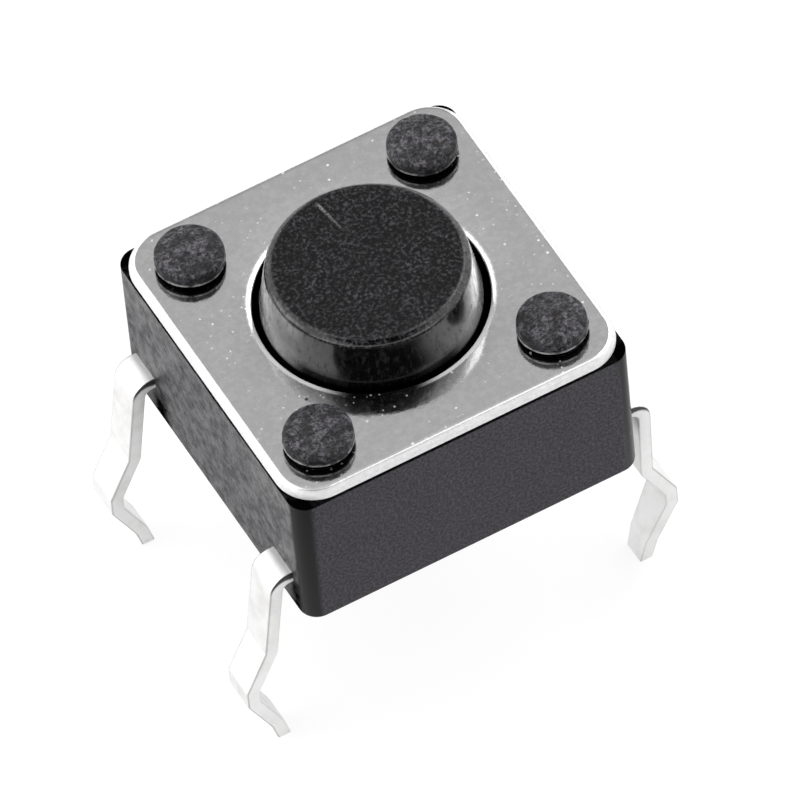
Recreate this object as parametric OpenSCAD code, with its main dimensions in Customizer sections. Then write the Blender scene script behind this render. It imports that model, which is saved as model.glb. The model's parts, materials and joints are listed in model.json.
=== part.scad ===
// Low-profile tactile push button switch with four bent through-hole legs.
// Moulded housing, plated cover plate under four staked posts, round button,
// snap dome and two stamped lead frames.
// Millimetres. The origin is the centre of the housing's flat underside, and +Z
// is the way the button stands. The legs leave through the -X and +X walls.

/* [Housing] */
// Width and depth of the square housing
body_w = 6.0; // [5.6:0.1:7.5]
// Height of the housing, without the cover plate
body_h = 2.85; // [2.35:0.05:3.6]
// Radius of the housing's upright corners
body_corner_r = 0.32; // [0.06:0.02:0.6]
// Thickness of the plastic under the lead frames
floor_t = 0.65; // [0.4:0.05:0.8]

/* [Cover plate] */
// Thickness of the cover plate
cover_t = 0.2; // [0.15:0.05:0.35]
// Radius of the cover plate's corners
cover_corner_r = 0.68; // [0.3:0.02:0.9]
// How far the cover plate's edge stands back from the housing's wall
cover_setback = 0.01; // [0:0.01:0.1]

/* [Staked posts] */
// Diameter of the posts that pass through the cover plate
post_d = 0.9; // [0.6:0.05:1.0]
// Diameter of the staked heads
head_d = 1.15; // [1.05:0.01:1.3]
// Height of the staked heads above the cover plate
head_h = 0.4; // [0.2:0.01:0.5]
// Rounding of the heads' top edge
head_edge_r = 0.12; // [0.02:0.01:0.18]
// Place of the posts between the cavity's wall (0) and the housing's corner (1)
post_place = 0.4; // [0.38:0.01:0.5]

/* [Button] */
// Diameter of the button where it leaves the cover plate
button_d = 3.52; // [2.6:0.02:4.2]
// How much smaller the button's diameter is at its top
button_draft = 0.25; // [0:0.05:0.4]
// Height of the button above the cover plate
button_rise = 0.9; // [0.5:0.05:2.5]
// Rounding of the button's top edge
button_edge_r = 0.16; // [0.05:0.01:0.3]
// Least width of the flange outside the cover plate's hole
flange_lip = 0.2; // [0.1:0.05:0.25]
// Thickness of the flange
flange_t = 0.5; // [0.3:0.05:0.6]
// Diameter of the nub that presses on the dome
nub_d = 1.8; // [1.2:0.1:2.4]

/* [Snap dome] */
// Diameter of the dome's rim
dome_d = 4.0; // [3.3:0.1:4.8]
// Thickness of the dome's sheet
dome_t = 0.06; // [0.04:0.01:0.08]
// Height of the relaxed dome, from its seat to the top of its crown. It snaps
// until the crown meets the centre contact, so the button's travel is this
// height less the sheet's thickness.
dome_rise = 0.31; // [0.25:0.01:0.4]
// Diameter of the recess under the dome
recess_d = 3.0; // [2.4:0.1:3.2]
// Least width of the step from the cavity's wall in to the dome's seat
seat_step = 0.1; // [0.05:0.01:0.2]

/* [Lead frames] */
// Thickness of the stamped strip
strip_t = 0.22; // [0.18:0.01:0.3]
// Width of the strip and of its legs
strip_w = 0.64; // [0.5:0.02:0.8]
// Distance between the middles of the two strips
strip_pitch = 4.5; // [3.7:0.1:4.8]
// Width of the tongues that carry the contacts
tongue_w = 1.2; // [0.9:0.1:1.6]
// Height of the half-sheared contacts above the strip
contact_rise = 0.15; // [0.08:0.01:0.17]
// Diameter of the centre contact
contact_d = 0.9; // [0.6:0.1:1.1]

/* [Legs] */
// Radius of the bend outside the wall, on its outer face
bend_r = 0.36; // [0.25:0.01:0.5]
// Straight run between the wall and the bend
wall_run = 0.06; // [0:0.02:0.3]
// Depth of the kink below the housing's underside
kink_depth = 0.88; // [0.4:0.02:1.2]
// Height of the slope that leads out from the kink to the knee
slope_out_h = 0.78; // [0.4:0.02:1.0]
// How far the knee stands out from the kink
knee_out = 0.39; // [0.1:0.01:0.5]
// Height of the knee's face
knee_h = 0.3; // [0.1:0.02:0.6]
// Height of the slope below the knee, which leads back in as far as the kink
slope_in_h = 0.84; // [0.5:0.02:1.2]
// Height of the tip
tip_h = 0.4; // [0.1:0.02:0.6]
// How far the tip's end stands in from the kink
tip_in = 0.1; // [0:0.02:0.3]
// Width of the tip's end, to which the leg narrows below its knee
tip_w = 0.44; // [0.3:0.02:0.64]
// Outward lean of the upper stretch of the two legs on the -X side, in degrees
lean_left = 8; // [-4:0.5:12]
// Outward lean of the upper stretch of the two legs on the +X side, in degrees
lean_right = -1.5; // [-4:0.5:12]

/* [Fits] */
// Gap all round between the button and the cover plate's hole
hole_gap = 0.12; // [0.05:0.01:0.25]
// Gap all round between the flange and the cavity's wall
flange_gap = 0.1; // [0.05:0.01:0.15]
// Gap all round between the posts and their holes
post_gap = 0.05; // [0.02:0.01:0.1]
// Gap all round between the dome's rim and its seat
dome_gap = 0.05; // [0.02:0.01:0.1]
// Play between the flange and the underside of the cover plate
flange_play = 0.02; // [0.01:0.01:0.04]
// Play between the nub and the dome's crown
nub_play = 0.02; // [0.01:0.01:0.04]

/* [Hidden] */
$fn = 96;

// Overshoot of a cutting shape past the face that it opens
cut = 0.5;
// Depth of the shallow counterbore that centres the dome
dome_seat_depth = 0.28;
// Part of the button's wall that lies below the cover plate, inside the flange
button_root = 0.1;

// Heights, from the underside upwards
strip_top = floor_t + strip_t;
seat_z = strip_top + contact_rise;
crown_z = seat_z + dome_rise;
cover_z = body_h;
cover_top = body_h + cover_t;
flange_top = cover_z - flange_play;
flange_z = flange_top - flange_t;
nub_z = crown_z + nub_play;
button_top = cover_top + button_rise;

// Diameters that follow the button and the dome: the cavity lets both in, and
// the flange fills it
hole_d = button_d + 2 * hole_gap;
seat_d = dome_d + 2 * dome_gap;
cavity_d = max(hole_d + 2 * (flange_lip + flange_gap), seat_d + 2 * seat_step);
flange_d = cavity_d - 2 * flange_gap;
button_top_d = button_d - button_draft;

// Heights along a leg, from the end of its bend down to its tip
bend_z = strip_top - bend_r;
kink_z = -kink_depth;
knee_z = kink_z - slope_out_h;
knee_foot_z = knee_z - knee_h;
tip_z = knee_foot_z - slope_in_h;
end_z = tip_z - tip_h;

// The posts stand on the diagonals, between the cavity and the corners
corner_reach = (body_w / 2 - body_corner_r) * sqrt(2) + body_corner_r;
post_reach = cavity_d / 2 + post_place * (corner_reach - cavity_d / 2);
post_xy = post_reach / sqrt(2);

// Places of the two strips: the centre contact's is at +Y
centre_y = strip_pitch / 2;
rim_y = -strip_pitch / 2;

// Square outline with round corners, centred on the origin
module rounded_square(w, r) {
    square([w, w - 2 * r], center = true);
    square([w - 2 * r, w], center = true);
    for (x = [-1, 1], y = [-1, 1])
        translate([x * (w / 2 - r), y * (w / 2 - r)]) circle(r);
}

// Calls its children once on each post's axis
module at_posts() {
    for (x = [-1, 1], y = [-1, 1])
        translate([x * post_xy, y * post_xy, 0]) children();
}

// One post and its staked head, in one piece, rising out of the housing
module staked_post() {
    translate([0, 0, cover_z - cut]) cylinder(d = post_d, h = cut + cover_t + head_h / 2);
    translate([0, 0, cover_top]) rotate_extrude() {
        square([head_d / 2 - head_edge_r, head_h]);
        square([head_d / 2, head_h - head_edge_r]);
        translate([head_d / 2 - head_edge_r, head_h - head_edge_r]) circle(head_edge_r);
    }
}

// Button cavity, dome seat and contact recess, stepped down from the top
module cavity() {
    seat_edge_z = seat_z + dome_seat_depth;
    translate([0, 0, seat_edge_z]) cylinder(d = cavity_d, h = body_h - seat_edge_z + cut);
    translate([0, 0, seat_z]) cylinder(d = seat_d, h = dome_seat_depth + cut);
    translate([0, 0, strip_top]) cylinder(d = recess_d, h = contact_rise + cut);
}

// Straight stretch of strip between two points of a leg's middle line
module stretch(a, b) {
    run = b - a;
    translate(a) rotate(atan2(run[1], run[0]))
        translate([0, -strip_t / 2]) square([norm(run), strip_t]);
}

// Side view of one leg on the +X side: x is the distance out from the housing's
// middle and y is the height. The upper stretch leans, and what lies below the
// kink moves with it. The last stretch runs on past the tip's end, where
// leg_front() cuts it level.
module leg_profile(lean) {
    bend_x = body_w / 2 + wall_run;
    line_x = bend_x + bend_r - strip_t / 2;
    kink_x = line_x + tan(lean) * (bend_z - kink_z);
    tip = [kink_x, tip_z];
    tip_end = [kink_x - tip_in, end_z];
    points = [[line_x, bend_z], [kink_x, kink_z], [kink_x + knee_out, knee_z],
              [kink_x + knee_out, knee_foot_z], tip, 2 * tip_end - tip];
    translate([0, floor_t]) square([bend_x, strip_t]);
    intersection() {
        translate([bend_x, bend_z]) difference() {
            circle(bend_r);
            circle(bend_r - strip_t);
        }
        translate([bend_x, bend_z]) square(bend_r);
    }
    for (i = [0 : len(points) - 2]) stretch(points[i], points[i + 1]);
    for (i = [0 : len(points) - 2]) translate(points[i]) circle(d = strip_t);
}

// Front view of a strip and its legs, which narrow below the knee to the tip
module leg_front() {
    polygon([[-strip_w / 2, strip_top + cut], [-strip_w / 2, knee_foot_z],
             [-tip_w / 2, end_z], [tip_w / 2, end_z],
             [strip_w / 2, knee_foot_z], [strip_w / 2, strip_top + cut]]);
}

// Strip from wall to wall with a leg bent down at each end
module strip_with_legs(y) {
    translate([0, y, 0]) intersection() {
        rotate([90, 0, 0]) linear_extrude(strip_w, center = true) {
            leg_profile(lean_right);
            mirror([1, 0]) leg_profile(lean_left);
        }
        rotate([90, 0, 90]) linear_extrude(2 * body_w, center = true) leg_front();
    }
}

// Tongue from the middle of a strip towards the switch's axis
module tongue(from_y, to_y) {
    low = min(from_y, to_y);
    high = max(from_y, to_y);
    translate([-tongue_w / 2, low, floor_t]) cube([tongue_w, high - low, strip_t]);
}

// Plan of the pad under the dome's rim
module rim_pad() {
    pad_out = seat_d / 2;
    pad_in = recess_d / 2;
    translate([-tongue_w / 2, -pad_out]) square([tongue_w, pad_out - pad_in]);
}

// Sheet with a half-sheared contact: the contact's plan, the second child, is
// punched out of the sheet, the first child, and stays in it contact_rise higher
module half_sheared() {
    difference() {
        children(0);
        linear_extrude(strip_top + cut) children(1);
    }
    translate([0, 0, floor_t + contact_rise]) linear_extrude(strip_t) children(1);
}

// Stamped lead frame whose tongue carries the centre contact
module centre_terminal() {
    color("gainsboro") {
        strip_with_legs(centre_y);
        half_sheared() {
            tongue(centre_y, -contact_d);
            circle(d = contact_d);
        }
    }
}

// Stamped lead frame whose short tongue carries the pad under the dome's rim
module rim_terminal() {
    color("gainsboro") half_sheared() {
        union() {
            strip_with_legs(rim_y);
            tongue(rim_y, -recess_d / 2);
        }
        rim_pad();
    }
}

// Moulded housing with its four posts, moulded round the two lead frames
module base() {
    color("#2b2b2d") {
        difference() {
            linear_extrude(body_h) rounded_square(body_w, body_corner_r);
            cavity();
            centre_terminal();
            rim_terminal();
        }
        at_posts() staked_post();
    }
}

// Plated steel plate that closes the housing and holds the button in
module cover_plate() {
    color("silver") difference() {
        translate([0, 0, cover_z]) linear_extrude(cover_t)
            rounded_square(body_w - 2 * cover_setback, cover_corner_r);
        translate([0, 0, cover_z - cut]) cylinder(d = hole_d, h = cover_t + 2 * cut);
        at_posts() translate([0, 0, cover_z - cut])
            cylinder(d = post_d + 2 * post_gap, h = cover_t + 2 * cut);
    }
}

// Turned outline of the button: nub, flange and the drafted cap with a round edge
module button() {
    cap_z = flange_top - button_root;
    edge_x = button_top_d / 2 - button_edge_r;
    edge_z = button_top - button_edge_r;
    color("#343436") rotate_extrude() {
        translate([0, nub_z]) square([nub_d / 2, flange_z - nub_z + button_root]);
        translate([0, flange_z]) square([flange_d / 2, flange_t]);
        polygon([[0, cap_z], [button_d / 2, cap_z], [button_d / 2, cover_top],
                 [button_top_d / 2, edge_z], [edge_x, button_top], [0, button_top]]);
        translate([edge_x, edge_z]) circle(button_edge_r);
    }
}

// Shallow round dome of spring sheet, resting on its rim
module snap_dome() {
    rim_r = dome_d / 2;
    ball_r = (rim_r * rim_r + dome_rise * dome_rise) / (2 * dome_rise);
    color("lightsteelblue") translate([0, 0, seat_z]) rotate_extrude() intersection() {
        translate([0, dome_rise - ball_r]) difference() {
            circle(ball_r, $fn = 480);
            circle(ball_r - dome_t, $fn = 480);
        }
        square([dome_d, dome_rise + cut]);
    }
}

base();
cover_plate();
button();
snap_dome();
centre_terminal();
rim_terminal();
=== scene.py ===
# A low-profile tactile push button switch, made up the way it is assembled: two stamped
# lead frames, the housing moulded round them, the snap dome, the button, and the cover
# plate that the housing's four posts are staked over. Shapes are worked out in
# millimetres in the CAD frame, and become metres when a piece is made.
import json

import bmesh
import bpy
import numpy as np
from mathutils import Matrix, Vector
from mathutils.geometry import tessellate_polygon


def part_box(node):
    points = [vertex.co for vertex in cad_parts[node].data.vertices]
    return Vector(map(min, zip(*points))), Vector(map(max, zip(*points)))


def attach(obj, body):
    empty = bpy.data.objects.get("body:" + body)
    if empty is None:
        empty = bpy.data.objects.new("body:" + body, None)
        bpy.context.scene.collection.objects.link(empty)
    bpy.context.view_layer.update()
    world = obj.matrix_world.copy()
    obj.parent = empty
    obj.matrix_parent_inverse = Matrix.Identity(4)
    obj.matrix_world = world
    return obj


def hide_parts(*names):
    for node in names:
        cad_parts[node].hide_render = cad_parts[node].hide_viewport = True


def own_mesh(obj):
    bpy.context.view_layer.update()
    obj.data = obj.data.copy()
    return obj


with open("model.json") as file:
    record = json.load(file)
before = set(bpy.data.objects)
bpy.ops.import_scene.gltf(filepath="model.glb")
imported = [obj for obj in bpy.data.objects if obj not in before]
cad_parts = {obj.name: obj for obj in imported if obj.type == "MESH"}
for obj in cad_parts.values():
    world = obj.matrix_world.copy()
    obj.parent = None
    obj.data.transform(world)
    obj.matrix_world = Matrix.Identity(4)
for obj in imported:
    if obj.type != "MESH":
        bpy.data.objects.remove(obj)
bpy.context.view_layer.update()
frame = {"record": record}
MM = 0.001


# ---------------------------------------------------------------- Lead frames
# Two strips stamped from thin brass sheet, bent down into a leg at each end and silver
# plated. Each crosses the housing near its floor and carries one contact on a tongue.

def box_of(node):
    """A CAD node's lowest and highest corner, in millimetres."""
    low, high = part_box(node)
    return np.array(low) / MM, np.array(high) / MM


def bent_line(corners, radii, steps=6):
    """Straight runs joined by arcs. At each inner corner the arc's centre lies one radius
    off both runs on the inside of the bend, and the spoke from it turns by equal angles
    from the first run's tangent point to the second's."""
    line = [corners[:1]]
    for before, corner, after, radius in zip(corners, corners[1:], corners[2:], radii):
        run_in = (corner - before) / np.linalg.norm(corner - before)
        run_out = (after - corner) / np.linalg.norm(after - corner)
        turn = np.arctan2(np.cross(run_in, run_out), run_in @ run_out)
        inward = np.sign(turn) * np.array([-run_in[1], run_in[0]])
        centre = corner - run_in * radius * np.tan(abs(turn) / 2) + radius * inward
        angle = np.linspace(0, turn, steps + 1)[:, None]
        spoke = -radius * inward
        across = np.array([-spoke[1], spoke[0]])
        line.append(centre + np.cos(angle) * spoke + np.sin(angle) * across)
    return np.vstack([*line, corners[-1:]])


def beside(corners, distance):
    """The corners of a line moved to its left by a distance. Inner corners move along
    their mitres, and both ends then slide along their runs back to their own heights."""
    run = np.diff(corners, axis=0)
    run /= np.linalg.norm(run, axis=1)[:, None]
    left = np.stack([-run[:, 1], run[:, 0]], axis=1)
    mitre = (left[:-1] + left[1:]) / (1 + (left[:-1] * left[1:]).sum(axis=1))[:, None]
    moved = corners + distance * np.vstack([left[:1], mitre, left[-1:]])
    for end in (0, -1):
        moved[end] += run[end] * (corners[end, 1] - moved[end, 1]) / run[end, 1]
    return moved


def grid(points, closed_rows=False):
    """The quads between neighbours in a rows x columns grid of points. The columns close
    on themselves into rings, and the rows too where asked."""
    rows, columns = points.shape[:2]
    index = np.arange(rows * columns).reshape(rows, columns)
    index = np.hstack([index, index[:, :1]])
    if closed_rows:
        index = np.vstack([index, index[:1]])
    quads = np.stack([index[:-1, :-1], index[:-1, 1:], index[1:, 1:], index[1:, :-1]], axis=-1)
    return points.reshape(-1, 3), [quads.reshape(-1, 4)]


def bar(outer, inner, width, edge_r, y):
    """A bent bar between an outer and an inner line of the XZ plane. Each ring runs round
    a rectangle that is as thick as the step between the lines' points and as wide as
    width says there, with quarter circles of edge_r at its corners. Each vertex also gets
    its place on the strip before it was bent: millimetres along from the middle, share of
    the half width across, and share of the half thickness through towards the outer face."""
    step = outer - inner
    thick = np.linalg.norm(step, axis=1)[:, None]
    half_wide = width[:, None] / 2
    angle = np.linspace(0, np.pi / 2, 5) + np.arange(4)[:, None] * np.pi / 2
    through_sign = np.array([1, -1, -1, 1])[:, None]
    across_sign = np.array([1, 1, -1, -1])[:, None]
    through = through_sign * (thick / 2 - edge_r)[:, :, None] + edge_r * np.cos(angle)
    across = across_sign * (half_wide - edge_r)[:, :, None] + edge_r * np.sin(angle)
    through, across = through.reshape(len(outer), -1), across.reshape(len(outer), -1)
    middle = (outer + inner) / 2
    place = middle[:, None, :] + through[:, :, None] * (step / thick)[:, None, :]
    points = np.stack([place[:, :, 0], y + across, place[:, :, 1]], axis=-1)
    vertices, faces = grid(points)
    ring = points.shape[1]
    first = np.arange(ring)[None, :]
    run = np.r_[0, np.cumsum(np.linalg.norm(np.diff(middle, axis=0), axis=1))]
    along = np.abs(run - np.interp(0, middle[:, 0], run))[:, None] + 0 * across
    unbent = np.stack([along, across / half_wide, through / (thick / 2)], axis=-1)
    return vertices, faces + [first, first + len(vertices) - ring], unbent.reshape(-1, 3)


def circle(radius, x=0.0, y=0.0, steps=96):
    """Points round a circle, anticlockwise from +X."""
    angle = np.linspace(0, 2 * np.pi, steps, endpoint=False)
    return np.stack([x + radius * np.cos(angle), y + radius * np.sin(angle)], axis=1)


def turned(profile, x=0.0, y=0.0, steps=96):
    """A profile of (radius, height) points turned about the upright axis through x, y."""
    profile = np.asarray(profile, float)
    ring = circle(1.0, steps=steps)
    radius = profile[:, 0, None]
    height = np.repeat(profile[:, 1, None], steps, axis=1)
    return grid(np.stack([x + radius * ring[:, 0], y + radius * ring[:, 1], height], axis=-1))


def arc(x, y, radius, start, end, steps=8):
    """Points along an arc about (x, y), with its angles in degrees."""
    angle = np.radians(np.linspace(start, end, steps + 1))
    return np.stack([x + radius * np.cos(angle), y + radius * np.sin(angle)], axis=1)


def slab(low_x, high_x, low_y, high_y, low_z, high_z):
    """A plain closed block."""
    corners = np.array([[x, y, z] for x in (low_x, high_x) for y in (low_y, high_y)
                        for z in (low_z, high_z)], float)
    sides = [[0, 1, 3, 2], [4, 6, 7, 5], [0, 4, 5, 1], [2, 3, 7, 6], [0, 2, 6, 4], [1, 5, 7, 3]]
    return corners, [np.array(sides)]


def piece(name, parts, finish, crease=35):
    """One object from closed surfaces in millimetres: doubles are merged, faces turned
    outwards, and edges that bend by more than the crease angle stay sharp. A surface's
    third array, where it has one, becomes the mesh's attribute "unbent"."""
    vertices, faces, marks, start = [], [], [], 0
    for points, polygons, *unbent in parts:
        vertices.append(points)
        marks.append(unbent[0] if unbent else np.zeros((len(points), 3)))
        for corners in polygons:
            faces += (corners + start).tolist()
        start += len(points)
    mesh = bpy.data.meshes.new(name)
    mesh.from_pydata(np.vstack(vertices) * MM, [], faces)
    marks = np.vstack(marks)
    if np.any(marks):
        mesh.attributes.new("unbent", "FLOAT_VECTOR", "POINT").data.foreach_set("vector", marks.ravel())
    work = bmesh.new()
    work.from_mesh(mesh)
    bmesh.ops.remove_doubles(work, verts=work.verts, dist=1e-5 * MM)
    bmesh.ops.recalc_face_normals(work, faces=work.faces)
    work.to_mesh(mesh)
    work.free()
    mesh.shade_smooth()
    mesh.set_sharp_from_angle(angle=np.radians(crease))
    mesh.materials.append(finish)
    made = bpy.data.objects.new(name, mesh)
    bpy.context.scene.collection.objects.link(made)
    weighted = made.modifiers.new("even_normals", "WEIGHTED_NORMAL")
    weighted.keep_sharp = True
    return made


class Wire:
    """One output of a node. Python's arithmetic on it adds the Math node that does it."""

    def __init__(self, finish, socket):
        self.finish, self.socket = finish, socket

    def math(self, operation, *values):
        return self.finish.node("Math", dict(enumerate(values)), operation=operation)

    def __add__(self, other):
        return self.math("ADD", self, other)

    def __sub__(self, other):
        return self.math("SUBTRACT", self, other)

    def __rsub__(self, other):
        return self.math("SUBTRACT", other, self)

    def __mul__(self, other):
        return self.math("MULTIPLY", self, other)

    def __truediv__(self, other):
        return self.math("DIVIDE", self, other)

    def __rtruediv__(self, other):
        return self.math("DIVIDE", other, self)

    def __pow__(self, other):
        return self.math("POWER", self, other)

    def __abs__(self):
        return self.math("ABSOLUTE", self)

    __radd__, __rmul__ = __add__, __mul__


class Finish:
    """The node tree of a material, the floor or the world while it is being built."""

    def __init__(self, owner):
        owner.use_nodes = True
        self.owner, self.tree = owner, owner.node_tree
        self.tree.nodes.clear()

    def node(self, kind, inputs, output=0, **settings):
        """Any node: its settings first, then a value or a wire for each socket named."""
        made = self.tree.nodes.new("ShaderNode" + kind)
        for name, value in settings.items():
            setattr(made, name, value)
        for name, value in inputs.items():
            if isinstance(value, Wire):
                self.tree.links.new(value.socket, made.inputs[name])
            else:
                made.inputs[name].default_value = value
        return Wire(self, made.outputs[output]) if made.outputs else made

    def place(self):
        """Where a point lies on the object, in metres in the CAD frame."""
        return self.node("TexCoord", {}, "Object")

    def axes(self, vector, size=1.0):
        """A vector's three parts as numbers, divided by a size."""
        return [self.node("SeparateXYZ", {"Vector": vector}, axis) / size for axis in "XYZ"]

    def noise(self, size_mm, detail=3.0, roughness=0.55, stretch=None):
        """Cloudy noise from 0 to 1 whose features are about size_mm across."""
        where = self.place()
        if stretch:
            where = self.node("Mapping", {"Vector": where, "Scale": stretch})
        return self.node("TexNoise", {"Vector": where, "Scale": 1 / (size_mm * MM),
                                      "Detail": detail, "Roughness": roughness})

    def cells(self, size_mm):
        """Distance to the middle of the nearest random cell, in cell widths."""
        return self.node("TexVoronoi", {"Vector": self.place(), "Scale": 1 / (size_mm * MM)})

    def step(self, value, low, high):
        """A smooth step from 0 at low to 1 at high."""
        return self.node("MapRange", {0: value, 1: low, 2: high}, interpolation_type="SMOOTHSTEP")

    def mix(self, first, second, share):
        """The first colour turning into the second as share goes from 0 to 1."""
        return self.node("Mix", {0: share, 6: first, 7: second}, 2, data_type="RGBA")

    def bump(self, height, depth_mm):
        """The normal of a surface raised by height times depth_mm."""
        return self.node("Bump", {"Height": height, "Distance": depth_mm * MM}, "Normal")

    def surface(self, shade_and_blotches=None, **sockets):
        """Ends a material in a Principled shader, with matt black mixed over it by the given share: painted
        shade, and on the housing random dark blotches too.
        """
        named = {name.replace("_", " "): value for name, value in sockets.items()}
        shader = self.node("BsdfPrincipled", named)
        if shade_and_blotches:
            matt = self.node("BsdfDiffuse", {"Color": grey(0.001)})
            shader = self.node("MixShader", {0: shade_and_blotches, 1: shader, 2: matt})
        self.node("OutputMaterial", {"Surface": shader})
        return self.owner


def grey(level, warmth=0.0):
    """An RGBA colour: a grey level, a little redder than blue by the warmth."""
    return (level * (1 + warmth), level, level * (1 - warmth), 1.0)


housing_high = box_of("base")[1]
tips_z = box_of("centre_terminal")[0][2]
terminals = next(mount for mount in frame["record"]["mounts"] if mount["name"] == "terminals")
leg_pitch = terminals["dims"]["spacing_y_mm"]

strip_t, strip_w, tip_w = 0.22, 0.64, 0.44
strip_z = 0.65
sheared_edge_r = 0.02
wall_to_bend, bend_r = 0.06, 0.25
leg_x = housing_high[0] + wall_to_bend + bend_r
bend_z = strip_z + strip_t / 2 - bend_r
leg_heights = [-0.88, -1.66, -1.96, -2.8]
knee_out, tip_in = 0.3895, 0.1
lean_left, lean_right = 8.0, -1.5
outer_radii = [0.36, 0.03, 0.06, 0.05, 0.08]
inner_radii = [0.14, 0.14, 0.03, 0.03, 0.16]


def leg_corners(lean):
    """Corners of a leg's middle line, from the bend to the tip: a distance out and a
    height each. The outward lean shears the upright stretch, down to the kink."""
    out = np.array([0.0, 0.0, knee_out, knee_out, 0.0, -tip_in])
    height = np.array([bend_z + bend_r, *leg_heights, tips_z])
    sheared = bend_z - np.maximum(height, leg_heights[0])
    return np.stack([leg_x + out + np.tan(np.radians(lean)) * sheared, height], axis=1)


def lead_strip(y):
    """A leg, the strip across the housing and the other leg, as one bar."""
    left, right = leg_corners(lean_left)[::-1] * [-1, 1], leg_corners(lean_right)
    line = np.vstack([left, right])
    outer = bent_line(beside(line, strip_t / 2), outer_radii[::-1] + outer_radii)
    inner = bent_line(beside(line, -strip_t / 2), inner_radii[::-1] + inner_radii)
    below_knee = np.clip((leg_heights[2] - outer[:, 1]) / (leg_heights[2] - tips_z), 0, 1)
    return bar(outer, inner, strip_w + (tip_w - strip_w) * below_knee, sheared_edge_r, y)


def silver_plating():
    """Silver-plated brass: bright and softly clouded, with faint draw lines along the
    strip. Painted shade draws grey lines along the sheared edges, and painted shade
    blackens the sheared sides where the strip leaves the plastic."""
    finish = Finish(bpy.data.materials.new("silver_plating"))
    along, across, through = finish.axes(finish.node("Attribute", {}, "Vector", attribute_name="unbent"))
    cloud = finish.noise(0.4, 4.0, 0.6)
    lines = finish.noise(0.05, 2.0, 0.5, stretch=(1.0, 1.0, 0.12))
    side = finish.step(abs(across), 0.93, 0.98)
    edge = finish.step(abs(across), 0.9, 0.97) * finish.step(abs(through), 0.72, 0.92)
    outside = finish.step(through, -0.2, 0.6)
    from_wall = along - housing_high[0]
    near_wall = 1 - finish.step(along, leg_x, leg_x + 0.35)
    shade_by_wall = side * finish.step(through - 3.2 * (from_wall - 0.12), -0.2, 0.3) * near_wall
    colour = finish.mix(grey(0.96, 0.003), grey(0.84, 0.01), finish.step(cloud, 0.4, 0.75))
    # painted shade: grey lines along the sheared edges, darkest towards the outer face
    colour = finish.mix(colour, grey(0.42, 0.015), edge * (0.35 + 0.5 * outside) * (0.7 + 0.6 * cloud))
    # painted shade: the sheared sides blackened close to the housing wall
    colour = finish.mix(colour, grey(0.02), shade_by_wall)
    return finish.surface(Base_Color=colour, Metallic=0.75 - 0.7 * side,
                          Roughness=0.38 + 0.1 * cloud + 0.08 * lines - 0.12 * side,
                          Normal=finish.bump(lines + cloud, 0.001))


plated = silver_plating()
tongue_x, tongue_end = 0.6, -0.9
pad_start, pad_end = -2.05, -1.5
contact_r, contact_edge_r = 0.45, 0.03
for node, y, tongue in (("centre_terminal", leg_pitch / 2, (tongue_end, leg_pitch / 2)),
                        ("rim_terminal", -leg_pitch / 2, (-leg_pitch / 2, pad_end))):
    contact_z = box_of(node)[1][2]
    edge_z = contact_z - contact_edge_r
    parts = [lead_strip(y), slab(-tongue_x, tongue_x, *tongue, strip_z, strip_z + strip_t)]
    if node == "centre_terminal":
        parts.append(turned([(0, strip_z), (contact_r, strip_z), (contact_r, edge_z),
                             *arc(contact_r - contact_edge_r, edge_z, contact_edge_r, 0, 90, 4),
                             (0, contact_z)]))
    else:
        parts.append(slab(-tongue_x, tongue_x, pad_start, pad_end, strip_z + strip_t, contact_z))
    lead = piece(node.replace("terminal", "lead"), parts, plated)
    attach(lead, "housing")
    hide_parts(node)


# -------------------------------------------------------------------- Housing
# Black glass-filled plastic moulded round the lead frames, with spark-eroded walls, the
# button's round cavity in its top, and a post at each corner that is staked hot over the
# cover plate into a low round head.

def outline(half, corner_r, steps=14):
    """A square with rounded corners, as one anticlockwise loop: a quarter circle about
    each corner's centre, a corner radius in from both sides."""
    centre = half - corner_r
    angle = np.linspace(0, np.pi / 2, steps + 1) + np.arange(4)[:, None] * np.pi / 2
    x = np.array([1, -1, -1, 1])[:, None] * centre + corner_r * np.cos(angle)
    y = np.array([1, 1, -1, -1])[:, None] * centre + corner_r * np.sin(angle)
    return np.stack([x.ravel(), y.ravel()], axis=1)


def walls(half, corner_r, profile):
    """Walls round a rounded square: at each (inset, height) of the profile the outline
    stands in by the inset, and its corner radius shrinks by as much."""
    loops = [(outline(half - inset, corner_r - inset), z) for inset, z in profile]
    return grid(np.stack([np.c_[loop, np.full(len(loop), z)] for loop, z in loops]))


def level(loops, z):
    """A level face inside the first loop and outside the others, cut into triangles."""
    points = np.vstack(loops)
    triangles = tessellate_polygon([np.c_[loop, np.zeros(len(loop))].tolist() for loop in loops])
    return np.c_[points, np.full(len(points), z)], [np.array(triangles)]


def lumps(points, size, depth, seed):
    """Gentle random swelling: a sum of sine waves of about one size in random directions,
    as a height at each point."""
    waves = 12
    rng = np.random.default_rng(seed)
    wave = rng.normal(size=(points.shape[-1], waves)) * np.pi / size
    return depth * np.sin(points @ wave + rng.uniform(0, 2 * np.pi, waves)).sum(axis=1) / (waves / 2)


body_half = housing_high[0]
body_corner_r = 0.32
body_top = box_of("cover_plate")[0][2]
cover_top = box_of("cover_plate")[1][2]
head_top = housing_high[2]
foot_r, rim_r, shelf = 0.07, 0.05, 0.03
cavity_r, cavity_edge = 2.18, 0.02
ledge_z, seat_r, seat_z, recess_r, recess_z = 1.3, 2.05, 1.02, 1.5, 0.87
post_r, head_r = 0.45, 0.575
post_xy = 2.0875
posts = [(x, y) for x in (-post_xy, post_xy) for y in (-post_xy, post_xy)]

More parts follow.
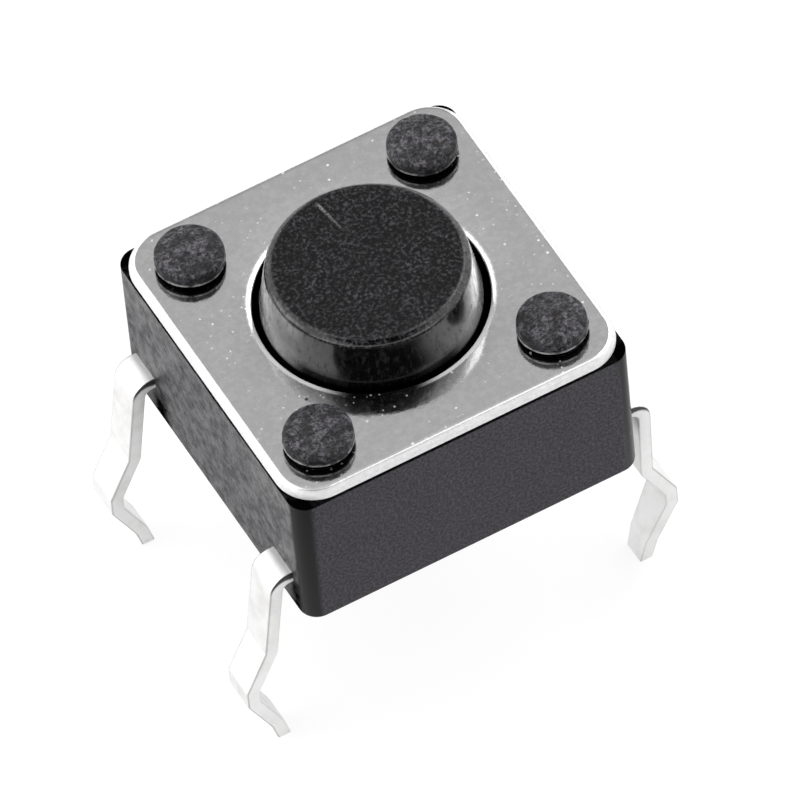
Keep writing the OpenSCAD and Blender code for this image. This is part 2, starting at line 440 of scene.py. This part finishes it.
wall_profile = [(foot_r + shelf, 0.0), *arc(foot_r, foot_r, foot_r, 270, 180, 6),
                *arc(rim_r, body_top - rim_r, rim_r, 180, 90, 6), (rim_r + shelf, body_top)]
cavity_profile = [(cavity_r + shelf, body_top), (cavity_r + cavity_edge, body_top),
                  (cavity_r, body_top - cavity_edge), (cavity_r, ledge_z), (seat_r, ledge_z),
                  (seat_r, seat_z), (recess_r, seat_z), (recess_r, recess_z), (0, recess_z)]
inner_outline = outline(body_half - rim_r - shelf, body_corner_r - rim_r - shelf)
foot_outline = outline(body_half - foot_r - shelf, body_corner_r - foot_r - shelf)


def staked_head(x, y, seed):
    """Post and head: the neck through the cover plate, an undercut just off it, a thin
    lip round the side where the staking tool stopped, an upright side, and a low crown
    with a soft shoulder. Lumps swell the side and dent the crown a little."""
    side_r, shoulder_r, crown_rise, lip_r = head_r - 0.012, 0.08, 0.07, 0.015
    crown_r = side_r - shoulder_r
    crown = np.linspace(crown_r, 0, 11)[1:]
    neck_top = cover_top + 0.005
    profile = np.array([(post_r, body_top), (post_r, neck_top), (head_r - 0.08, neck_top),
                        (head_r - 0.04, cover_top + 0.03), (head_r - 0.02, cover_top + 0.09),
                        *arc(head_r - lip_r, cover_top + 0.125, lip_r, -80, 80, 6),
                        *arc(crown_r, head_top - crown_rise - shoulder_r, shoulder_r, 0, 78, 9),
                        *np.stack([crown, head_top - crown_rise * (crown / crown_r) ** 2], axis=1)])
    points, faces = turned(profile, x, y)
    free = np.clip((points[:, 2] - cover_top - 0.03) / 0.1, 0, 1)
    swell = lumps(points, 0.3, 0.01, seed) * free
    from_axis = points[:, :2] - [x, y]
    reach = np.linalg.norm(from_axis, axis=1)
    sideways = (np.minimum(swell, 0) * reach / head_r / np.maximum(reach, 1e-9))[:, None]
    points[:, :2] += from_axis * sideways
    points[:, 2] -= np.abs(swell) * np.clip((points[:, 2] - cover_top - 0.2) / 0.1, 0, 1)
    return points, faces


def tint(level, violet=1.0):
    """A near-black RGBA colour with a trace of violet, as carbon-black plastics have."""
    return (level * (1 + 0.03 * violet), level * (1 - 0.02 * violet), level * (1 + 0.1 * violet), 1.0)


def black_plastic():
    """Glass-filled nylon: spark-eroded walls with a fine grain, and corners left smooth by
    the electrode, which are painted darker as a dark reflection. The walls with the legs are
    paler, blotched and scuffed, and painted light makes them paler still along their upper
    edges. A painted shadow of each leg falls on the wall beside it, and painted shade darkens
    the walls just under the plate. The staked heads have a coarse crazed skin, sides darkened
    by painted shade, a lip painted pale as a highlight, and painted shade in the undercut
    below it. A few specks of dust."""
    finish = Finish(bpy.data.materials.new("black_plastic"))
    x, y, z = finish.axes(finish.place(), MM)
    head = finish.step(z, cover_top - 0.04, cover_top + 0.01)
    corner_start = body_half - body_corner_r
    corner = finish.step(abs(x).math("MINIMUM", abs(x), abs(y)), corner_start + 0.02, corner_start + 0.12)
    corner = corner * (1 - head)
    leg_wall = finish.step(abs(x), body_half - 0.08, body_half - 0.02) * (1 - corner)
    grain = finish.noise(0.05, 3.0, 0.6)
    streak = finish.noise(0.12, 4.0, 0.75, stretch=(0.4, 0.4, 1.0))
    cloud = finish.noise(0.6, 3.0, 0.5)
    mottle = finish.noise(0.22, 5.0, 0.75)
    # painted light: paler towards the upper part of the walls, away from the corners
    painted_light = finish.step(z, 1.5, body_top) * finish.step(abs(y), 0.4, 2.2)
    leg_shadow_shift = 0.14
    from_back_leg = abs(y - (leg_pitch - strip_w) / 2 + leg_shadow_shift)
    from_front_leg = abs(y + (leg_pitch + strip_w) / 2 + leg_shadow_shift)
    skin = finish.noise(0.055, 4.0, 0.8)
    dents = finish.noise(0.2, 3.0, 0.6)
    dust = (1 - finish.step(finish.cells(0.4), 0.02, 0.05)) * finish.step(cloud, 0.5, 0.6)
    beside_leg = 1 - finish.step(from_back_leg.math("MINIMUM", from_back_leg, from_front_leg), 0.08, 0.42)
    blotch = leg_wall * (1 - finish.step(mottle + 0.3 * (cloud - 0.5), 0.38, 0.6))
    # painted shadow of each leg on the wall beside it, fading upwards
    leg_shadow = leg_wall * beside_leg * (1 - finish.step(z + 0.5 * cloud, 0.5, 1.5))
    # painted shade on the housing just under the plate
    shade_under_plate = finish.step(z, body_top - 0.05, body_top - 0.03) * (1 - head)
    # painted shade in the undercut under each head's lip
    undercut = head * (1 - finish.step(z, cover_top + 0.09, cover_top + 0.115))
    # painted shade on the heads' lower sides
    flank = head * (1 - finish.step(z, cover_top + 0.2, head_top - 0.04))
    lip = finish.step(z, cover_top + 0.1, cover_top + 0.12)
    lip = lip * (1 - finish.step(z, cover_top + 0.135, cover_top + 0.16))
    shade = finish.mix(tint(0.004, 3), tint(0.05, 3), finish.step(grain, 0.38, 0.68))
    scuffed = finish.step(mottle, 0.34, 0.68) * (0.3 + 0.7 * finish.step(streak, 0.34, 0.68))
    # scuffed paler walls by the legs, and painted light making them paler still towards their upper edges
    shade = finish.mix(shade, grey(0.17), leg_wall * (0.75 * scuffed + 0.3 * painted_light))
    # painted dark reflection: the rounded corners darker
    shade = finish.mix(shade, tint(0.002), corner)
    crazing = finish.step(skin, 0.38, 0.72) * (0.25 + 1.2 * finish.step(dents, 0.36, 0.68))
    shade = finish.mix(shade, finish.mix(tint(0.003), tint(0.2), crazing), head)
    # painted highlight: the lip band paler, in patches
    shade = finish.mix(shade, grey(0.4), lip * finish.step(dents, 0.35, 0.65))
    shade = finish.mix(shade, grey(0.5), dust * 0.6)
    rough = 0.38 + (0.3 + 0.5 * leg_wall) * (streak - 0.5) + 0.2 * (cloud - 0.5) + 0.1 * (grain - 0.5)
    eroded = (0.5 * grain + 0.5 * streak) * (1 - head) * (1 - corner)
    height = (finish.step(skin, 0.3, 0.75) + 4 * dents) * head * 2 + eroded + 3 * mottle * leg_wall
    # painted shade on the heads, leaving the lip highlight
    shade_on_heads = undercut + 0.45 * flank * (1 - lip)
    # on the walls: painted dark reflection on the corners, random dark blotches, painted leg shadows and
    # painted shade under the plate
    shade_and_blotches_on_walls = 0.35 * corner + 0.27 * blotch + 0.85 * leg_shadow + 0.9 * shade_under_plate
    return finish.surface(shade_and_blotches=shade_on_heads + shade_and_blotches_on_walls, Base_Color=shade, Specular_IOR_Level=0.3,
                          Roughness=rough * (1 - 0.6 * corner) + 0.08 * head,
                          Normal=finish.bump(height, 0.004))


housing_parts = [
    walls(body_half, body_corner_r, wall_profile),
    level([foot_outline], 0.0),
    level([inner_outline, circle(cavity_r + shelf), *(circle(post_r, x, y) for x, y in posts)], body_top),
    turned(cavity_profile),
    *(staked_head(x, y, seed) for seed, (x, y) in enumerate(posts))]
housing = piece("housing", housing_parts, black_plastic())
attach(housing, "housing")
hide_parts("base")


# ------------------------------------------------------------------ Snap dome
# A round dome of stainless spring sheet that drops loose into its seat. In the switch it
# flattens onto the centre contact as the button goes down; here it is made in its raised
# shape only.

dome_low, dome_high = box_of("snap_dome")
dome_r, dome_rise, dome_t = 2.0, dome_high[2] - dome_low[2], 0.06
ball_r = (dome_r ** 2 + dome_rise ** 2) / (2 * dome_rise)
rim_angle = np.degrees(np.arcsin(dome_r / ball_r))
ball_z = dome_high[2] - ball_r
under_angle = np.degrees(np.arccos((dome_low[2] - ball_z) / (ball_r - dome_t)))
dome_profile = [*arc(0, ball_z, ball_r, 90, 90 - rim_angle, 24),
                *arc(0, ball_z, ball_r - dome_t, 90 - under_angle, 90, 24)]


def spring_steel():
    """Bright rolled stainless sheet with fine lines left by the rolls."""
    finish = Finish(bpy.data.materials.new("spring_steel"))
    lines = finish.noise(0.04, 2.0, 0.5, stretch=(0.06, 1.0, 1.0))
    return finish.surface(Base_Color=finish.mix(grey(0.6), grey(0.7), lines), Metallic=1.0,
                          Roughness=0.2 + 0.15 * lines, Normal=finish.bump(lines, 0.0006))


dome = piece("dome", [turned(dome_profile)], spring_steel())
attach(dome, "housing")
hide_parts("snap_dome")
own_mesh(dome)


# --------------------------------------------------------------------- Button
# The black plunger, moulded in one: a drafted round cap with a soft edge and a spark
# texture on its top, a flange that holds it under the cover plate, and a nub below.

button_low, button_high = box_of("button")
cap_r, cap_top_r, cap_edge_r = 1.76, 1.635, 0.16
flange_r, flange_low, flange_high, nub_r = button_high[0], 2.33, 2.83, 0.9
nub_z, button_top = button_low[2], button_high[2]
lean = np.degrees(np.arctan2(cap_r - cap_top_r, button_top - cap_edge_r - cover_top))

button_profile = [
    (0, nub_z), (nub_r - 0.08, nub_z), *arc(nub_r - 0.05, nub_z + 0.05, 0.05, 270, 360, 4),
    *arc(nub_r + 0.05, flange_low - 0.05, 0.05, 180, 90, 4), (flange_r - 0.06, flange_low),
    *arc(flange_r - 0.04, flange_low + 0.04, 0.04, 270, 360, 4),
    *arc(flange_r - 0.04, flange_high - 0.04, 0.04, 0, 90, 4), (cap_r + 0.03, flange_high),
    (cap_r, flange_high + 0.02), (cap_r, cover_top), (cap_r - 0.02, cover_top + 0.14),
    *arc(cap_top_r - cap_edge_r, button_top - cap_edge_r, cap_edge_r, lean, 90, 12),
    (cap_top_r - cap_edge_r - 0.03, button_top), (0.6, button_top), (0, button_top)]


def diagonal(x, y):
    """A place seen along the line from the middle past the front left corner, 24 degrees
    off -Y: how far it lies to the right of that line, and how far along it."""
    return x * 0.911 - y * 0.412, x * -0.412 - y * 0.911


def polished_black():
    """Black plastic with a spark-eroded top and shoulder whose grains are abraded paler, and
    a side that was polished in the mould and is faintly scuffed. A painted sheen makes the
    side paler still low down by the plate's hole, to the left and right as seen past the
    front left corner. Down inside the hole painted shade makes it matt black. The gate left
    a thin pale line near the top's edge."""
    finish = Finish(bpy.data.materials.new("polished_black"))
    x, y, z = finish.axes(finish.place(), MM)
    radius = (x * x + y * y) ** 0.5
    grained = finish.step(z, button_top - cap_edge_r + 0.01, button_top - cap_edge_r + 0.06)
    top = grained * (1 - finish.step(radius, cap_top_r - cap_edge_r, cap_top_r - cap_edge_r + 0.06))
    # painted shade: matt black down inside the plate's hole
    shade_in_hole = 1 - finish.step(z, cover_top - 0.12, cover_top - 0.02)
    grain = finish.noise(0.06, 3.0, 0.7)
    fine = finish.noise(0.03, 2.0, 0.6)
    cloud = finish.noise(0.4, 3.0, 0.6)
    scuff = finish.step(finish.noise(0.09, 4.0, 0.7, stretch=(1.0, 1.0, 0.4)), 0.45, 0.7)
    gate_x, gate_y, gate_slant = -0.069, 1.077, 0.142
    from_gate = abs(x - gate_x + gate_slant * (y - gate_y)) - 0.02 * (fine - 0.5)
    gate = (1 - finish.step(from_gate, 0.007, 0.036)) * (1 - finish.step(abs(y - gate_y), 0.24, 0.4)) * top
    gate = gate * finish.step(fine, 0.3, 0.6) * (0.4 + 0.8 * finish.step(y, 0.9, 1.4))
    pale = finish.step(grain, 0.44, 0.72) * (0.7 + 1.6 * (cloud - 0.5))
    flank = finish.step(abs(diagonal(x, y)[0]), 1.1, 1.6)
    # painted sheen: paler low on the side near the plate, to the left and right as seen past the front left
    # corner
    painted_light = flank * (1 - finish.step(z, cover_top + 0.05, cover_top + 0.4)) * (0.75 + 0.9 * (cloud - 0.5))
    side_shade = finish.mix(tint(0.001), tint(0.012), scuff)
    shade = finish.mix(side_shade, finish.mix(tint(0.002), tint(0.088), pale), grained)
    shade = finish.mix(shade, grey(0.4), painted_light)
    shade = finish.mix(shade, grey(0.26), gate)
    side_rough = 0.13 + 0.25 * scuff + 0.06 * (cloud - 0.5)
    return finish.surface(shade_and_blotches=shade_in_hole, Base_Color=shade, Specular_IOR_Level=0.16,
                          Roughness=side_rough + top * (0.44 - side_rough),
                          Coat_Weight=(1 - top) * (1 - 0.6 * scuff), Coat_Roughness=0.14,
                          Normal=finish.bump((grain + 0.5 * fine) * (0.6 + 0.6 * top), 0.006))


button = piece("button_cap", [turned(button_profile, steps=192)], polished_black())
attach(button, "button")
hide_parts("button")


# ---------------------------------------------------------------- Cover plate
# Tin-plated steel sheet, blanked with the button's hole and four post holes, so its upper
# edges are rolled over smooth. It drops over the posts and closes the housing.

plate_half = box_of("cover_plate")[1][0]
plate_corner_r = 0.68
hole_r, post_hole_r = 1.88, 0.5
roll_r, hole_roll_r, burr_r = 0.12, 0.03, 0.03
dish_r, dish_drop, sunk_r, sunk_drop = 2.44, 0.016, 2.0, 0.03

plate_profile = [(burr_r + shelf, body_top), *arc(burr_r, body_top + burr_r, burr_r, 270, 180, 4),
                 *arc(roll_r, cover_top - roll_r, roll_r, 180, 90, 10), (roll_r + shelf, cover_top)]
hole_profile = [(hole_r + burr_r + shelf, body_top),
                *arc(hole_r + burr_r, body_top + burr_r, burr_r, 270, 180, 4),
                *arc(hole_r + hole_roll_r, cover_top - sunk_drop - hole_roll_r, hole_roll_r, 180, 100, 6),
                (sunk_r, cover_top - dish_drop), (dish_r - 0.06, cover_top - 0.0015), (dish_r, cover_top)]
post_profile = [(post_hole_r + burr_r, body_top), (post_hole_r, body_top + burr_r),
                (post_hole_r, cover_top - burr_r), (post_hole_r + burr_r, cover_top)]
top_loops = [outline(plate_half - roll_r - shelf, plate_corner_r - roll_r - shelf),
             circle(dish_r, steps=192),
             *(circle(post_hole_r + burr_r, x, y) for x, y in posts)]
bottom_loops = [outline(plate_half - burr_r - shelf, plate_corner_r - burr_r - shelf),
                circle(hole_r + burr_r + shelf, steps=192), *top_loops[2:]]


def tin_plating():
    """Satin tin plating on rolled steel: a mottled orange-peel skin, and scattered dull
    grains and short scratches that catch more of the light. The rolled rim is matt. A
    painted highlight makes the hole's edge on both sides of the front near-white and
    matt, and between them painted glints stand bright on it. One pit."""
    finish = Finish(bpy.data.materials.new("tin_plating"))
    x, y, z = finish.axes(finish.place(), MM)
    skin = finish.noise(0.1, 4.0, 0.6)
    cloud = finish.noise(0.5, 4.0, 0.6)
    patchy = finish.step(finish.noise(0.8, 2.0, 0.5), 0.4, 0.62)
    grains = (1 - finish.step(finish.cells(0.13), 0.05, 0.2)) * (0.15 + 0.85 * patchy)
    specks = 1 - finish.step(finish.cells(0.3), 0.05, 0.1)
    scratch = finish.step(finish.noise(0.035, 2.0, 0.5, stretch=(0.2, 1.0, 1.0)), 0.66, 0.78)
    rim = finish.step(abs(x).math("MAXIMUM", abs(x), abs(y)), 2.4, 2.5)
    rim = rim * (1 - finish.step(z, cover_top - 0.03, cover_top - 0.003))
    pit_x, pit_y = -1.84, -1.23
    pit = 1 - finish.step(((x - pit_x) ** 2 + (y - pit_y) ** 2) ** 0.5, 0.015, 0.04)
    colour = finish.mix(grey(0.82), grey(0.92), finish.step(skin, 0.35, 0.7))
    radius = (x * x + y * y) ** 0.5
    hole_front = finish.step(x * -0.47 + y * -0.883, 1.9, 1.925) * (1 - finish.step(radius, 1.96, 1.98))
    # painted glints: a row of dots on the hole's front edge made diffuse and bright
    painted_glints = hole_front * (1 - finish.step(finish.cells(0.075), 0.14, 0.3))
    across, forward = diagonal(x, y)
    # painted highlight: the hole's edge to the left and right of the front made near-white and matt
    painted_hole_highlight = (1 - finish.step(radius, 1.94, 1.99)) * finish.step(abs(across), 0.5, 1.1)
    painted_hole_highlight = painted_hole_highlight * finish.step(forward, 0.2, 0.8)
    colour = finish.mix(colour, grey(0.97), painted_hole_highlight)
    colour = finish.mix(colour, grey(0.15), pit)
    rough = 0.08 + 0.08 * finish.step(cloud, 0.4, 0.7) + 0.22 * grains + 0.5 * specks + 0.2 * scratch
    return finish.surface(Base_Color=colour, Roughness=rough + 0.4 * rim + 0.35 * painted_hole_highlight,
                          Metallic=1 - 0.85 * rim - 0.5 * grains - 0.6 * painted_glints - 0.9 * painted_hole_highlight,
                          Normal=finish.bump(skin + 0.8 * cloud + 0.3 * grains, 0.0016))


cover = piece("cover", [walls(plate_half, plate_corner_r, plate_profile),
                        turned(hole_profile, steps=192),
                        *(turned(post_profile, x, y) for x, y in posts),
                        level(top_loops, cover_top), level(bottom_loops, body_top)], tin_plating())
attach(cover, "housing")
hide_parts("cover_plate")


# --------------------------------------------------------------------- Studio
# A white table between two large bright screens, each with a lamp in it, under a dimmer
# ceiling strip. The camera looks down over the switch's front left corner out of the
# dark, with a low light below it.

azimuth, elevation, roll = np.radians([-24.344, 52.196, -6.031])
back = np.array([np.sin(azimuth) * np.cos(elevation), -np.cos(azimuth) * np.cos(elevation),
                 np.sin(elevation)])
right = np.array([np.cos(azimuth), np.sin(azimuth), 0.0])
up = np.cross(back, right)
rolled_right = np.cos(roll) * right + np.sin(roll) * up
rolled_up = -np.sin(roll) * right + np.cos(roll) * up
shift_right, shift_up, distance = 0.3834, -0.974, 283.29
aim = np.array([0.0, 0.0, 2.0]) + shift_right * rolled_right + shift_up * rolled_up

lens = bpy.data.cameras.new("camera")
lens.lens, lens.sensor_width = 812.6, 36.0
lens.clip_start, lens.clip_end = 0.01, 10.0
camera = bpy.data.objects.new("camera", lens)
turn = Matrix(np.stack([rolled_right, rolled_up, back], axis=1).tolist()).to_4x4()
camera.matrix_world = Matrix.Translation((aim + distance * back) * MM) @ turn
bpy.context.scene.collection.objects.link(camera)
bpy.context.scene.camera = camera


def table_top():
    """White table: the camera sees it nearly white of itself. Polished things see it a
    little darker, and almost black well out in front. Both see the object's soft shadow.
    It can be looked through from below."""
    finish = Finish(bpy.data.materials.new("table"))
    out = finish.node("VectorMath", {0: finish.place(), 1: (back[0] / MM, back[1] / MM, 0.0)}, "Value",
                      operation="DOT_PRODUCT")
    lit = 1 - 0.9 * finish.step(out, 5.0, 9.0)
    camera_ray = finish.node("LightPath", {}, "Is Camera Ray")
    glossy = finish.node("LightPath", {}, "Is Glossy Ray")
    through = finish.node("LightPath", {}, "Is Transmission Ray")
    plain = finish.node("BsdfDiffuse", {"Color": grey(0.8)})

    def glowing(own, kept):
        """Light of the table's own, and a diffuse share that keeps the shadow."""
        return finish.node("AddShader", {0: finish.node("BsdfDiffuse", {"Color": grey(kept)}),
                                         1: finish.node("Emission", {"Color": grey(1.0), "Strength": own})})

    polished = finish.node("MixShader", {0: lit, 1: finish.node("BsdfDiffuse", {"Color": grey(0.02)}),
                                         2: glowing(0.5, 0.45)})
    seen = finish.node("MixShader", {0: glossy, 1: plain, 2: polished})
    white = camera_ray.math("MAXIMUM", camera_ray, through)
    seen = finish.node("MixShader", {0: white, 1: seen, 2: glowing(0.82, 0.26)})
    clear = finish.node("BsdfTransparent", {})
    under = finish.node("NewGeometry", {}, "Backfacing")
    finish.node("OutputMaterial", {"Surface": finish.node("MixShader", {0: under, 1: seen, 2: clear})})
    return finish.owner


reach = 3000.0
floor_mesh = bpy.data.meshes.new("table")
floor_mesh.from_pydata([(x * reach * MM, y * reach * MM, tips_z * MM)
                        for x, y in ((-1, -1), (1, -1), (1, 1), (-1, 1))], [], [(0, 1, 2, 3)])
floor_mesh.materials.append(table_top())
floor = bpy.data.objects.new("table", floor_mesh)
bpy.context.scene.collection.objects.link(floor)

world = bpy.data.worlds.new("tent")
bpy.context.scene.world = world
tent = Finish(world)
direction = tent.node("TexCoord", {}, "Generated")


def share(toward):
    """How far the tent's direction points along another: 1 along it, 0 square to it."""
    return tent.node("VectorMath", {0: direction, 1: tuple(toward)}, "Value", operation="DOT_PRODUCT")


def beyond(value, start, full):
    """A smooth step over an angle in degrees, of a value that is the angle's sine."""
    return tent.step(value, np.sin(np.radians(start)), np.sin(np.radians(full)))


def lamp(toward, inner, outer):
    """A round glow about a direction: full within the inner angle in degrees, and gone
    at the outer one."""
    return beyond(share(toward), 90 - outer, 90 - inner)


height = share((0, 0, 1))
sideways = share(right)
toward_camera = share(back * [1, 1, 0] / np.cos(elevation))
ceiling = (1 - beyond(abs(sideways), 10, 16)) * (1 - beyond(toward_camera, 6, 12))
ceiling_glow = 0.3 + 0.32 * height ** 3
left_lamp = lamp((-0.84, 0.42, 0.34), 12, 24)
right_lamp = lamp((0.555, 0.267, 0.788), 8, 17)
screens = 1.45 + 2.0 * left_lamp + 1.7 * right_lamp
behind_camera = beyond(sideways, -31, -25) * (1 - beyond(sideways, 28, 46)) * beyond(toward_camera, 8, 14)
horizon = (1 - beyond(abs(height - 0.03), 1, 7)) * (1 - beyond(sideways, -5, 15))
light = (screens * (1 - ceiling) + ceiling_glow * ceiling) * (1 - behind_camera)
low_front = beyond(toward_camera, 20, 40) * (1 - beyond(height, 10, 20))
light = light * (1 - 0.5 * horizon) + 1.5 * low_front
seen = tent.node("LightPath", {}, "Is Camera Ray")
tent.node("OutputWorld", {"Surface": tent.node("Background", {"Color": grey(1.0),
                                                              "Strength": light * (1 - seen) + seen})})

bpy.context.scene.view_settings.view_transform = "Standard"
